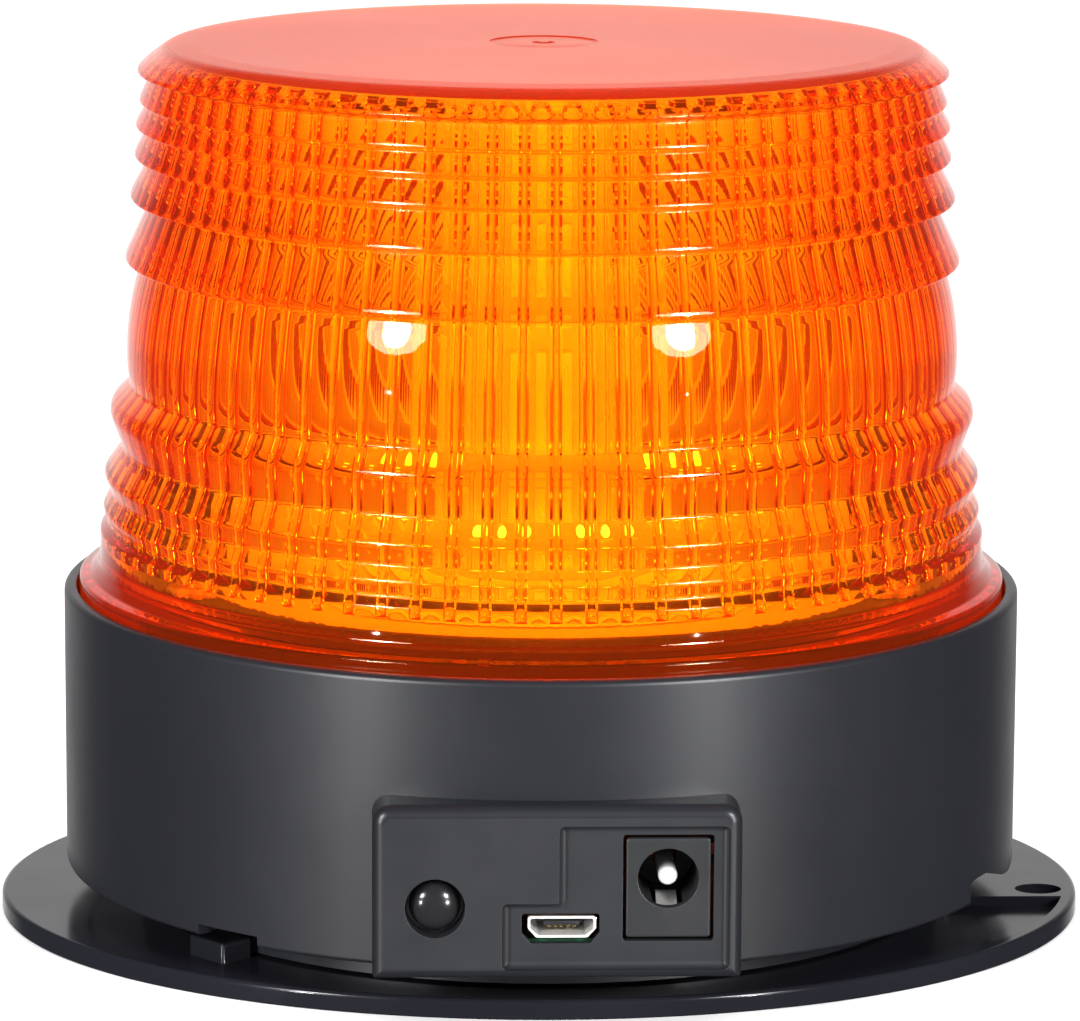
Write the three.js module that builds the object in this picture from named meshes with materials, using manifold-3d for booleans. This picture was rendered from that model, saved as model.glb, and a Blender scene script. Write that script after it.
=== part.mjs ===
// Rechargeable amber LED warning beacon on an oval mounting plate.
// Millimetres, +Z up. The port panel faces -Y and the plate's ears lie along X.
import * as THREE from 'three';
import { mergeVertices } from 'three/addons/utils/BufferGeometryUtils.js';
import Module from 'manifold-3d';

const wasm = await Module();
wasm.setup();

// ---- driving dimensions ----
const GAP = 0.3; // clearance kept between neighbouring pieces
const DRUM_RADIUS = 53;
const DRUM_BOTTOM = 6.05;
const DRUM_TOP = 37;
const DRUM_BORE = 50.9;
const RIM_BORE = 51.6; // wider bore at the rim, which the lens flange drops into
const LEDGE_BORE = 49.4;
const LEDGE_BOTTOM = 31;
const LEDGE_TOP = 34;
const PLATE_HALF_LENGTH = 60.3;
const PLATE_HALF_WIDTH = 49.8;
const PLATE_THICKNESS = 2.2;
const NECK_RADIUS = 44.5;
const COVER_FLANGE_BOTTOM = 6.4;
const COVER_TOP = 8;
const MAGNET_POCKET_RADIUS = 35.7;
const MAGNET_POCKET_TOP = 5.2;
const POST_X = 38.15; // four posts take the base screws from below and the deck screws from above
const POST_Y = 13.9;
const POST_RADIUS = 3.6;
const POST_TOP = 35.4;

const PANEL_FACE = -55.5;
const PANEL_BACK = -53.6;
const PANEL_HALF_WIDTH = 19.1;
const PANEL_BOTTOM = 6;
const PANEL_TOP = 24.4;
const RECESS_FLOOR = -54.5;
const BOARD_TOP = 9.8;
const PANEL_ROOT = -48.5; // the block runs back into the drum's wall
const BUTTON = { x: -12.63, z: 13.58, hole: 3.1, cap: 2.6, flange: 3.45 };
const JACK = { x: 11.5, z: 16.4, width: 8.8, bottom: 10.1, top: 20.7, face: -54.2, bore: 3.15 };
const USB = { x: 0.52, bottom: 10.1, top: 12.4, width: 7.1, foot: 5.3, face: -54.1, back: -48.6 };

const FLANGE_RADIUS = 51.3;
const FLANGE_BOTTOM = 35.3;
const FLANGE_TOP = 38.5;
const LENS_TOP = 97;
const LENS_WALL = 2.3;
const SKIRT_INNER = 45.4;
const SKIRT_OUTER = 47.2;
const SKIRT_BOTTOM = 26.5;
const TWIST_LUG_SPREAD = 16; // degrees
const TWIST_TAB_SPREAD = 24;
const TWIST_TURN = 22; // degrees from locked to free

// Lens rings from the top down: radius and height of each lip, then of the root under it.
const UPPER_RINGS = [
  [44.24, 94.3, 43.5, 92.6],
  [44.1, 90.7, 43.7, 89.9],
  [44.51, 88.0, 43.87, 86.8],
  [44.67, 84.7, 44.04, 82.8],
  [45.16, 80.2, 43.88, 78.1],
  [45.75, 73.3, 44.73, 71.6],
];
// Lower rings: each steps out to its lip, then tapers in to the root under it.
const LOWER_RINGS = [
  [47.56, 56.8, 46.47, 52.6],
  [48.35, 49.6, 47.75, 47.7],
  [48.49, 45.7, 48.07, 44.3],
];
const BARREL = [[45.6, 59.5], [45.86, 63], [45.6, 66.5], [44.91, 70.2]];
const BAND = [48.96, 42];
const BAND_FOOT = [48.9, 40.2];
const SHOULDER = [[42.9, 95.7], [41, 96.8], [39, LENS_TOP]];
// The inside wall from the top down to the neck above the skirt.
const INNER_WALL = [
  [38.6, LENS_TOP - LENS_WALL], [41.2, 92.6], [41.6, 78], [42.5, 71], [43.4, 60],
  [44.1, 56], [45.4, 50], [46.4, 44], [46.4, 40.1],
];

const COLUMN_APOTHEM = 10.3;
const COLUMN_BOTTOM = 39.2;
const COLUMN_TOP = 88;
const STRIP_WIDTH = 10.4;
const STRIP_THICKNESS = 1.2;
const LED_WIDTH = 5;
const LED_THICKNESS = 0.75;
const LED_ROWS = 6;
const LED_PITCH = 7.6;
const DECK_RADIUS = 45.1;
const DECK_BOTTOM = 35.7;
const DECK_THICKNESS = 1.6;
const LED_BOARD_RADIUS = 29.5;

const CELL_RADIUS = 9.1;
const CELL_LENGTH = 65;
const CELL_HEIGHT = 19.2; // height of the cells' axes
const CELL_YS = [-2, 17.2];

// ---- shape helpers ----
const degrees = THREE.MathUtils.degToRad;

function toSolid(geometry) {
  let bare = geometry.index ? geometry.toNonIndexed() : geometry.clone();
  bare.deleteAttribute('normal');
  bare.deleteAttribute('uv');
  bare = mergeVertices(bare, 1e-4);
  return new wasm.Manifold(new wasm.Mesh({
    numProp: 3,
    vertProperties: new Float32Array(bare.attributes.position.array),
    triVerts: new Uint32Array(bare.index.array),
  }));
}

function toGeometry(solid) {
  const mesh = solid.getMesh();
  const geometry = new THREE.BufferGeometry();
  geometry.setAttribute('position', new THREE.BufferAttribute(mesh.vertProperties, 3));
  geometry.setIndex(new THREE.BufferAttribute(mesh.triVerts, 1));
  const flat = geometry.toNonIndexed();
  flat.computeVertexNormals();
  return flat;
}

function join(...solids) {
  return solids.reduce((sum, solid) => sum.add(solid));
}

function cut(solid, ...tools) {
  return tools.reduce((rest, tool) => rest.subtract(tool), solid);
}

// A closed outline of [radius, height] points, turned about the Z axis.
function turned(outline, segments) {
  const points = outline.map(([radius, height]) => new THREE.Vector2(radius, height));
  const closedOnAxis = outline[0][0] === 0 && outline.at(-1)[0] === 0;
  if (!closedOnAxis) {
    points.push(points[0].clone());
  }
  return toSolid(new THREE.LatheGeometry(points, segments).rotateX(Math.PI / 2));
}

function disc(radius, bottom, top, segments = 24) {
  return turned([[0, bottom], [radius, bottom], [radius, top], [0, top]], segments);
}

function ring(inner, outer, bottom, top, segments = 48) {
  return turned([[inner, bottom], [outer, bottom], [outer, top], [inner, top]], segments);
}

function block(x0, x1, y0, y1, z0, z1) {
  const box = new THREE.BoxGeometry(x1 - x0, y1 - y0, z1 - z0);
  return toSolid(box.translate((x0 + x1) / 2, (y0 + y1) / 2, (z0 + z1) / 2));
}

function bearing([x, y]) {
  return THREE.MathUtils.radToDeg(Math.atan2(y, x));
}

// A round bar along Y, from y0 to y1.
function crossBar(x, z, radius, y0, y1, segments = 24) {
  return disc(radius, y0, y1, segments).rotate([-90, 0, 0]).translate([x, 0, z]);
}

// An outline in the XZ plane, given as [x, z] points, made solid from y0 back to y1.
function slab(points, y0, y1) {
  const shape = new THREE.Shape(points.map(([x, z]) => new THREE.Vector2(x, z)));
  const plain = new THREE.ExtrudeGeometry(shape, { depth: y1 - y0, bevelEnabled: false });
  return toSolid(plain.rotateX(Math.PI / 2)).translate([0, y1, 0]);
}

// A sector of a ring, centred on an azimuth in degrees from +X.
function sector(inner, outer, bottom, top, azimuth, spread) {
  const half = degrees(spread / 2);
  const shape = new THREE.Shape();
  shape.absarc(0, 0, outer, -half, half, false);
  shape.absarc(0, 0, inner, half, -half, true);
  const depth = top - bottom;
  const geometry = new THREE.ExtrudeGeometry(shape, { depth, bevelEnabled: false, curveSegments: 6 });
  return toSolid(geometry).translate([0, 0, bottom]).rotate([0, 0, azimuth]);
}

function oval(halfLength, halfWidth, bottom, top) {
  const shape = new THREE.Shape();
  shape.absellipse(0, 0, halfLength, halfWidth, 0, 2 * Math.PI);
  const depth = top - bottom;
  const geometry = new THREE.ExtrudeGeometry(shape, { depth, bevelEnabled: false, curveSegments: 72 });
  return toSolid(geometry).translate([0, 0, bottom]);
}

function wire(points, radius) {
  const path = new THREE.CatmullRomCurve3(points.map((point) => new THREE.Vector3(...point)));
  const section = new THREE.Shape();
  section.absarc(0, 0, radius, 0, 2 * Math.PI);
  return toSolid(new THREE.ExtrudeGeometry(section, { extrudePath: path, steps: 14, curveSegments: 4 }));
}

const beacon = new THREE.Group();

function add(name, solid, material) {
  const mesh = new THREE.Mesh(toGeometry(solid), material.clone());
  mesh.name = name;
  beacon.add(mesh);
}

function finish(color, roughness, metalness = 0) {
  return new THREE.MeshStandardMaterial({ color, roughness, metalness });
}

const AMBER = finish(0xff7a00, 0.12);
const BLACK_SATIN = finish(0x2f3136, 0.45);
const BLACK_GLOSS = finish(0x26272b, 0.2);
const BLACK_RUBBER = finish(0x1d1d1f, 0.85);
const STEEL = finish(0xb9bcc0, 0.35, 1);
const ZINC = finish(0x9ea3a8, 0.4, 1);
const FERRITE = finish(0x3a3a3c, 0.7, 0.3);
const BOARD_GREEN = finish(0x1e6b3a, 0.5);
const BOARD_WHITE = finish(0xf0eee6, 0.5);
const WHITE_PLASTIC = finish(0xe8e6df, 0.55);
const CELL_WRAP = finish(0x2f6fb5, 0.4);
const WIRE_RED = finish(0xc62020, 0.5);
const WIRE_BLACK = finish(0x1a1a1a, 0.5);

// ---- lens: one amber shell with stepped rings and a twist-lock skirt ----
// The outline runs up the outside from the skirt's foot to the axis, then down the inside.
function lensOutline() {
  const outer = [[SKIRT_OUTER, SKIRT_BOTTOM], [SKIRT_OUTER, FLANGE_BOTTOM]];
  outer.push([FLANGE_RADIUS, FLANGE_BOTTOM], [FLANGE_RADIUS, FLANGE_TOP - 0.5]);
  outer.push([FLANGE_RADIUS - 0.5, FLANGE_TOP], [BAND_FOOT[0] + 0.5, FLANGE_TOP + 0.5]);
  outer.push(BAND_FOOT, BAND);
  for (const [lip, lipHeight, root, rootHeight] of LOWER_RINGS.toReversed()) {
    outer.push([root, rootHeight], [lip, lipHeight]);
  }
  outer.push(...BARREL);
  for (const [lip, lipHeight, root, rootHeight] of UPPER_RINGS.toReversed()) {
    outer.push([root, rootHeight], [lip, lipHeight - 0.3], [lip - 0.1, lipHeight + 0.4]);
  }
  outer.push(...SHOULDER, [0, LENS_TOP]);
  const inner = [[0, LENS_TOP - LENS_WALL], ...INNER_WALL];
  inner.push([SKIRT_INNER, FLANGE_TOP - 0.4], [SKIRT_INNER, SKIRT_BOTTOM]);
  return outer.concat(inner);
}

const TWIST_AZIMUTHS = [30, 150, 270];
const lensShell = turned(lensOutline(), 40);
const twistLugs = TWIST_AZIMUTHS.map((azimuth) => {
  const reach = LEDGE_BORE - GAP;
  return sector(SKIRT_OUTER - 0.5, reach, LEDGE_BOTTOM - 3, LEDGE_BOTTOM - GAP, azimuth, TWIST_LUG_SPREAD);
});
add('lens', join(lensShell, ...twistLugs), AMBER);

add('lens_gasket', ring(49.6, 51.2, LEDGE_TOP + GAP, FLANGE_BOTTOM - GAP, 48), BLACK_RUBBER);

// ---- housing: drum, port panel, ledge, twist tabs and screw posts ----
function drumShell() {
  const lip = 0.7;
  return turned([
    [DRUM_BORE, DRUM_BOTTOM],
    [DRUM_RADIUS - 0.4, DRUM_BOTTOM],
    [DRUM_RADIUS, DRUM_BOTTOM + 0.4],
    [DRUM_RADIUS, DRUM_TOP - 3 * lip],
    [DRUM_RADIUS - 0.2, DRUM_TOP - lip],
    [DRUM_RADIUS - lip, DRUM_TOP],
    [RIM_BORE, DRUM_TOP],
    [RIM_BORE, LEDGE_TOP],
    [LEDGE_BORE, LEDGE_TOP],
    [LEDGE_BORE, LEDGE_BOTTOM],
    [DRUM_BORE, LEDGE_BOTTOM - 1.5],
  ], 72);
}

function panelBlock() {
  const shape = new THREE.Shape();
  const bevel = 1;
  const corner = 1;
  const side = PANEL_HALF_WIDTH - bevel;
  const top = PANEL_TOP - bevel;
  shape.moveTo(-side, PANEL_BOTTOM + bevel);
  shape.lineTo(side, PANEL_BOTTOM + bevel);
  shape.lineTo(side, top - corner);
  shape.absarc(side - corner, top - corner, corner, 0, Math.PI / 2, false);
  shape.lineTo(-side + corner, top);
  shape.absarc(-side + corner, top - corner, corner, Math.PI / 2, Math.PI, false);
  const geometry = new THREE.ExtrudeGeometry(shape, {
    depth: PANEL_ROOT - PANEL_FACE - 2 * bevel,
    bevelSize: bevel,
    bevelThickness: bevel,
    bevelSegments: 2,
    curveSegments: 3,
  });
  return toSolid(geometry.rotateX(Math.PI / 2)).translate([0, PANEL_ROOT - bevel, 0]);
}

function post(x, y) {
  const rib = block(Math.hypot(x, y), DRUM_BORE + 0.5, -1, 1, COVER_TOP + GAP, 25.5)
    .rotate([0, 0, bearing([x, y])]);
  return join(disc(POST_RADIUS, COVER_TOP + GAP, POST_TOP, 20).translate([x, y, 0]), rib);
}

function twistStops(azimuth) {
  const restStop = azimuth - TWIST_LUG_SPREAD / 2 - 1.5;
  const freeStop = azimuth + TWIST_LUG_SPREAD / 2 + TWIST_TURN + 1.5;
  return [restStop, freeStop].map((place) =>
    sector(LEDGE_BORE - 1.8, DRUM_BORE + 0.5, LEDGE_BOTTOM - 3, LEDGE_BOTTOM + 1, place, 2));
}

const POSTS = [[POST_X, POST_Y], [-POST_X, POST_Y], [-POST_X, -POST_Y], [POST_X, -POST_Y]];
const twistTabs = TWIST_AZIMUTHS.flatMap((azimuth) => [
  sector(SKIRT_OUTER + 0.4, LEDGE_BORE + 0.5, LEDGE_BOTTOM, LEDGE_TOP, azimuth, TWIST_TAB_SPREAD),
  ...twistStops(azimuth),
]);
const posts = POSTS.map(([x, y]) => post(x, y));
const postBores = POSTS.flatMap(([x, y]) => [
  disc(1.8, COVER_TOP, 18, 12).translate([x, y, 0]),
  disc(1.6, 28, POST_TOP + 1, 12).translate([x, y, 0]),
]);
const panelPocket = block(-17.2, 17.2, PANEL_BACK, -44, COVER_TOP, 22.8);
const coverSeat = disc(DRUM_BORE, DRUM_BOTTOM - 1, COVER_TOP + GAP, 72);
const portRecess = slab(
  [[-5.7, 7], [17.8, 7], [17.8, 22.2], [0.2, 22.2], [0.2, 14], [-5.7, 14]], PANEL_FACE - 1, RECESS_FLOOR);
const jackHole = block(6.8, 16.2, -56, -52, BOARD_TOP, 21.1);
const usbHole = slab([
  [-3.66, 10.7], [-2.7, 9.6], [3.5, 9.6], [4.4, 10.7], [4.4, 12.75], [-3.66, 12.75],
], -56, -52);
const buttonHole = crossBar(BUTTON.x, BUTTON.z, BUTTON.hole, -56, -52);
// Two notches in the drum's lower edge, at the plate's lug and beside its eyelet.
const lugNotch = sector(49, 54, 5, 7.3, 270 - 40.5, 9);
const eyeletNotch = slab([[-8.3, 5], [8.3, 5], [8.3, 6.1], [2.8, 6.9], [-4, 8.7], [-8.3, 8.8]], -54, -49)
  .rotate([0, 0, 69]);
add('housing', cut(
  join(drumShell(), panelBlock(), ...posts, ...twistTabs),
  ...postBores, coverSeat, panelPocket, portRecess, jackHole, usbHole, buttonHole, lugNotch, eyeletNotch,
), BLACK_SATIN);

// ---- base cover, mounting plate and magnet ----
const RIM_WALL_TOP = 10.5;
const coverBody = turned([
  [0, MAGNET_POCKET_TOP],
  [MAGNET_POCKET_RADIUS, MAGNET_POCKET_TOP],
  [MAGNET_POCKET_RADIUS, PLATE_THICKNESS + GAP],
  [NECK_RADIUS, PLATE_THICKNESS + GAP],
  [NECK_RADIUS, COVER_FLANGE_BOTTOM],
  [DRUM_BORE - 0.6, COVER_FLANGE_BOTTOM],
  [DRUM_BORE - 0.6, COVER_TOP],
  [0, COVER_TOP],
], 60);
const rimWall = sector(48.5, DRUM_BORE - 0.6, COVER_TOP - 0.5, RIM_WALL_TOP, 90, 308);
const ribSlots = POSTS.map((place) =>
  block(46, 52, -1.4, 1.4, COVER_TOP, RIM_WALL_TOP + 1).rotate([0, 0, bearing(place)]));
const coverBores = POSTS.map(([x, y]) => disc(1.8, 0, COVER_TOP + 1, 12).translate([x, y, 0]));
const BOARD_SCREWS = [[-14.2, -34.5], [14.2, -34.5]];
const boardScrewBores = BOARD_SCREWS.map(([x, y]) => disc(1.3, 5.8, 9, 12).translate([x, y, 0]));
add('base_cover', cut(
  join(coverBody, rimWall), ...ribSlots, ...coverBores, ...boardScrewBores,
), BLACK_SATIN);

const EYELET = [55.8, -4.6];
const EYE_POCKET_FLOOR = PLATE_THICKNESS - 1.1;
const eyeletHole = disc(1, -1, PLATE_THICKNESS + 1, 20).scale([2.6, 2.2, 1])
  .translate([...EYELET, 0]);
const eyePocketOval = oval(
  PLATE_HALF_LENGTH - 1.4, PLATE_HALF_WIDTH - 1.4, EYE_POCKET_FLOOR, PLATE_THICKNESS + 1);
const eyePocket = cut(
  eyePocketOval.intersect(block(40, 62, -27, -7.9, 0, 5)), disc(46.5, 0, 5, 60));
const ALIGNMENT_LUG_AZIMUTH = 270 - 48;
const alignmentLug = block(45.4, 49.5, -2.75, 2.75, PLATE_THICKNESS - 0.5, 4.4)
  .rotate([0, 0, ALIGNMENT_LUG_AZIMUTH]);
const plateBores = POSTS.map(([x, y]) =>
  turned([[0, -1], [3.2, -1], [3.2, 0.2], [1.8, 1.8], [1.8, 4], [0, 4]], 16).translate([x, y, 0]));
add('mounting_plate', cut(
  join(oval(PLATE_HALF_LENGTH, PLATE_HALF_WIDTH, 0, PLATE_THICKNESS), alignmentLug),
  disc(36.2, -1, 3, 60), ...plateBores, eyeletHole, eyePocket,
), BLACK_GLOSS);

add('grip_pad', disc(35.3, 0, 0.9, 48), BLACK_RUBBER);
add('ring_magnet', ring(12, 32.4, 1.2, 3.7, 40), FERRITE);
add('magnet_yoke', turned([
  [0, 4], [32.8, 4], [32.8, 1.2], [35.3, 1.2], [35.3, 4.9], [0, 4.9],
], 40), ZINC);

// The cross recess in a screw's head, between two heights.
function crossRecess(reach, bottom, top) {
  const half = reach * 0.3;
  return join(
    block(-reach, reach, -half, half, bottom, top),
    block(-half, half, -reach, reach, bottom, top),
  );
}

POSTS.forEach(([x, y], index) => {
  const screw = turned([[0, 0.4], [2.6, 0.4], [2.6, 0.6], [1.4, 1.9], [1.4, 16.5], [0, 17]], 16);
  add(`base_screw_${index + 1}`, cut(screw, crossRecess(1.3, 0, 1.3)).translate([x, y, 0]), STEEL);
});

// ---- battery ----
const TRAY_END = 34.2;
const cellBeds = CELL_YS.map((y) =>
  disc(CELL_RADIUS + GAP, -33.4, 33.4, 28).rotate([0, 90, 0]).translate([0, y, CELL_HEIGHT]));
add('battery_tray', cut(
  block(-TRAY_END, TRAY_END, CELL_YS[0] - 10.4, CELL_YS[1] + 10.4, COVER_TOP + GAP, 15), ...cellBeds,
), WHITE_PLASTIC);
CELL_YS.forEach((y, index) => {
  const half = CELL_LENGTH / 2;
  const cell = turned([
    [0, -half], [CELL_RADIUS - 0.5, -half], [CELL_RADIUS, -half + 0.5],
    [CELL_RADIUS, half - 0.5], [CELL_RADIUS - 0.5, half], [0, half],
  ], 28);
  add(`battery_cell_${index + 1}`, cell.rotate([0, 90, 0]).translate([0, y, CELL_HEIGHT]), CELL_WRAP);
});
for (const [side, sign] of [['left', -1], ['right', 1]]) {
  const place = sign * 32.95;
  const tab = block(place - 0.15, place + 0.15, -8.4, 23.4, CELL_HEIGHT - 3, CELL_HEIGHT + 3);
  add(`battery_tab_${side}`, tab, STEEL);
}

// ---- port board, sockets and button ----
const boardScrewHoles = BOARD_SCREWS.map(([x, y]) => disc(1.6, 5, 12, 12).translate([x, y, 0]));
add('port_board', cut(
  block(-16.8, 16.8, PANEL_BACK + GAP, -31.5, COVER_TOP + GAP, BOARD_TOP), ...boardScrewHoles,
), BOARD_GREEN);
BOARD_SCREWS.forEach(([x, y], index) => {
  const head = BOARD_TOP + GAP;
  const screw = turned([[0, 6.1], [1, 6.1], [1, head], [2.2, head], [2, head + 1.3], [0, head + 1.5]], 16);
  const recess = crossRecess(1.1, head + 0.7, head + 2);
  add(`board_screw_${index + 1}`, cut(screw, recess).translate([x, y, 0]), STEEL);
});

const JACK_LENGTH = 13.2;
const JACK_BORE_DEPTH = 10;
const PIN_RADIUS = 1;
const jackBack = JACK.face + JACK_LENGTH;
const jackLeft = JACK.x - JACK.width / 2;
const jackShell = block(jackLeft, jackLeft + JACK.width, JACK.face, jackBack, JACK.bottom, JACK.top);
const jackBore = crossBar(JACK.x, JACK.z, JACK.bore, JACK.face - 1, JACK.face + JACK_BORE_DEPTH, 28);
const pinSocket = crossBar(JACK.x, JACK.z, PIN_RADIUS + GAP, JACK.face + 9, jackBack + 1, 16);
const contactSlot = block(JACK.x - 1.5, JACK.x + 1.5, JACK.face + 1.4, JACK.face + 9, 12.2, 14.5);
add('dc_jack_body', cut(jackShell, jackBore, pinSocket, contactSlot), BLACK_SATIN);
const pin = turned([
  [0, 0], [PIN_RADIUS, 0], [PIN_RADIUS, 11.6], [0.7, 12], [0, 12.1],
], 16).rotate([90, 0, 0]);
add('dc_jack_pin', pin.translate([JACK.x, jackBack - 0.4, JACK.z]), STEEL);
const contact = slab([[-1.1, 0], [1.1, 0], [1.1, 0.35], [-1.1, 0.35]], 0, 6.6)
  .rotate([6, 0, 0]).translate([JACK.x, JACK.face + 1.8, 12.9]);
add('dc_jack_contact', contact, STEEL);

// Micro-USB shell: a tube with its lower corners cut off.
function usbOutline(inset) {
  const half = USB.width / 2 - inset;
  const foot = USB.foot / 2 - inset * 0.7;
  const bottom = USB.bottom + inset;
  const knee = USB.bottom + 1.0;
  const top = USB.top - inset;
  return [[-foot, bottom], [foot, bottom], [half, knee], [half, top], [-half, top], [-half, knee]]
    .map(([x, z]) => [x + USB.x, z]);
}
add('usb_shell', cut(
  slab(usbOutline(0), USB.face, USB.back), slab(usbOutline(0.3), USB.face - 1, USB.back + 1),
), STEEL);
add('usb_tongue', join(
  slab(usbOutline(0.6), USB.back - 1.4, USB.back - 0.2),
  block(USB.x - 1.85, USB.x + 1.85, USB.face + 0.7, USB.back - 1, 11.25, 11.75),
), BLACK_SATIN);

add('switch_body', cut(
  block(BUTTON.x - 3, BUTTON.x + 3, -50, -46.5, BOARD_TOP + GAP, 16.6),
  crossBar(BUTTON.x, BUTTON.z, 2, -51, -47.5, 16),
), BLACK_SATIN);
add('switch_plunger', crossBar(BUTTON.x, BUTTON.z, 1.7, -51.3, -48.4, 16), WHITE_PLASTIC);
// The outline's second number runs from the tip of the dome back into the housing.
const cap = turned([
  [0, 0], [1, 0.1], [1.9, 0.45], [2.4, 0.95], [BUTTON.cap, 1.5], [BUTTON.cap, 1.9],
  [BUTTON.flange, 1.9], [BUTTON.flange, 2.5], [BUTTON.cap, 2.5], [BUTTON.cap, 3.6], [0, 3.6],
], 24).rotate([-90, 0, 0]);
add('button_cap', cap.translate([BUTTON.x, PANEL_FACE + 0.3, BUTTON.z]), BLACK_GLOSS);

const ON_BOARD = BOARD_TOP + GAP;
add('controller_chip', block(-4, 4, -46, -41, ON_BOARD, ON_BOARD + 1.6), BLACK_SATIN);
add('inductor', join(
  block(4.2, 10.8, -39.5, -33, ON_BOARD, ON_BOARD + 1),
  disc(3, ON_BOARD + 0.5, ON_BOARD + 3.6, 20).translate([7.5, -36.25, 0]),
), FERRITE);
add('capacitor', turned([
  [0, ON_BOARD], [3.1, ON_BOARD], [3.1, ON_BOARD + 1], [2.8, ON_BOARD + 1.3],
  [3.1, ON_BOARD + 1.6], [3.1, ON_BOARD + 7.4], [2.7, ON_BOARD + 7.8], [0, ON_BOARD + 7.8],
], 20).translate([-10.5, -40.5, 0]), CELL_WRAP);
add('battery_plug', block(-4.5, 1.5, -37.5, -33, ON_BOARD, ON_BOARD + 5.4), WHITE_PLASTIC);

// ---- leads ----
const LEAD_RADIUS = 0.8;
for (const [name, start, sign, colour] of [
  ['battery_lead_red', -3.2, -1, WIRE_RED], ['battery_lead_black', 0.2, 1, WIRE_BLACK]]) {
  add(name, wire([
    [start, -32.5, 13.2], [start, -31.2, 13.2], [start + sign * 4, -28.6, 13], [sign * 15, -24, 12.6],
    [sign * 27, -16.5, 15], [sign * 33, -12.4, 18.4], [sign * 33.75, -9.2, 19.2],
  ], LEAD_RADIUS), colour);
}
for (const [name, x, colour] of [['led_lead_red', -8.6, WIRE_RED], ['led_lead_black', -6.3, WIRE_BLACK]]) {
  add(name, wire([
    [x, -35, ON_BOARD], [x, -34.5, 15], [x + 1, -31, 22],
    [x + 3, -24, 29.5], [x + 3.4, -20.7, 34.4], [x + 3.4, -20.5, 37.2],
  ], LEAD_RADIUS), colour);
}

// ---- light source: deck plate with a round board and a six-sided column of LED strips ----
const deckScrewHoles = POSTS.map(([x, y]) => disc(1.6, 30, 40, 12).translate([x, y, 0]));
const DECK_TOP = DECK_BOTTOM + DECK_THICKNESS;
const leadHole = disc(2.6, 30, 40, 16).translate([-4.05, -20.5, 0]);
add('deck_plate', cut(
  disc(DECK_RADIUS, DECK_BOTTOM, DECK_TOP, 48), ...deckScrewHoles, leadHole,
), BLACK_SATIN);
add('led_board', disc(LED_BOARD_RADIUS, DECK_TOP + GAP, COLUMN_BOTTOM - GAP, 48), BOARD_WHITE);
POSTS.forEach(([x, y], index) => {
  const head = DECK_TOP + GAP;
  const screw = turned([
    [0, 29], [1.2, 29], [1.2, head], [2.7, head], [2.5, head + 1.5], [0, head + 1.8],
  ], 16);
  const recess = crossRecess(1.3, head + 0.9, head + 2);
  add(`deck_screw_${index + 1}`, cut(screw, recess).translate([x, y, 0]), STEEL);
});

// A hexagonal bar with one flat facing the port panel.
function hexBar(apothem, bottom, top) {
  return disc(apothem / Math.cos(Math.PI / 6), bottom, top, 6).rotate([0, 0, 30]);
}
add('led_column', cut(
  hexBar(COLUMN_APOTHEM, COLUMN_BOTTOM, COLUMN_TOP),
  disc(8.2, COLUMN_BOTTOM - 1, COLUMN_TOP + 1, 20),
), WHITE_PLASTIC);

// One board standing against the +X side of the bar, with its row of LEDs.
function ledStrip() {
  const near = COLUMN_APOTHEM + GAP;
  const face = near + STRIP_THICKNESS;
  const half = LED_WIDTH / 2;
  const board = block(near, face, -STRIP_WIDTH / 2, STRIP_WIDTH / 2, COLUMN_BOTTOM, COLUMN_TOP - 0.6);
  const leds = Array.from({ length: LED_ROWS }, (_, row) => {
    const middle = COLUMN_BOTTOM + 5 + row * LED_PITCH;
    return block(near + 0.5, face + LED_THICKNESS, -half, half, middle - half, middle + half);
  });
  return join(board, ...leds);
}
for (let side = 0; side < 6; side += 1) {
  add(`led_strip_${side + 1}`, ledStrip().rotate([0, 0, side * 60 - 90]), BOARD_WHITE);
}

const CAP_BOTTOM = COLUMN_TOP + GAP;
const CAP_THICKNESS = 1.6;
const capLeds = [90, 210, 330].map((turn) => {
  const half = LED_WIDTH / 2;
  const top = CAP_BOTTOM + CAP_THICKNESS + LED_THICKNESS;
  return block(5.8 - half, 5.8 + half, -half, half, CAP_BOTTOM + 0.5, top).rotate([0, 0, turn]);
});
add('column_cap', join(hexBar(11.4, CAP_BOTTOM, CAP_BOTTOM + CAP_THICKNESS), ...capLeds), BOARD_WHITE);

export default beacon;
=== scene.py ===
"""Looks for the amber LED warning beacon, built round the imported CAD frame. Metres, +Z up, panel to -Y."""
import math

import bmesh
import bpy
from mathutils import Matrix, Vector


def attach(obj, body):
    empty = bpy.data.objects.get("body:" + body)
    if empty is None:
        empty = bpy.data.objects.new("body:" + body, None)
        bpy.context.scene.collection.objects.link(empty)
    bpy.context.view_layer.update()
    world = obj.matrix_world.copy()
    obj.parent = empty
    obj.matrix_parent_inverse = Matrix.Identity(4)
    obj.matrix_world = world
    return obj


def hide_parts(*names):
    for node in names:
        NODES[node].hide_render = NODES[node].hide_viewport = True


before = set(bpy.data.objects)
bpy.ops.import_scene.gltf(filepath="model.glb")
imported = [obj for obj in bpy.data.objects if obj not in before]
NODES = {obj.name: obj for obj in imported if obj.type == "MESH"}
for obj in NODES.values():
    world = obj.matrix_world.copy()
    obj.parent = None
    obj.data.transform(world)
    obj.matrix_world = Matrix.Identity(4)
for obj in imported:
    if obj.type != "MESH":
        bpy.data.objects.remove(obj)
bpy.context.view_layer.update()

MM = 0.001
PLATE_TOP = 2.2
PLATE_HALF = (60.3, 49.8)
DRUM_RADIUS = 53.0
DRUM_BORE = 50.9
DRUM_BOTTOM = 6.05
DRUM_TOP = 37.0
RIM_BORE = 51.6
LEDGE = (49.4, 31.0, 34.0)
PANEL_FACE = -55.5
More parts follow.
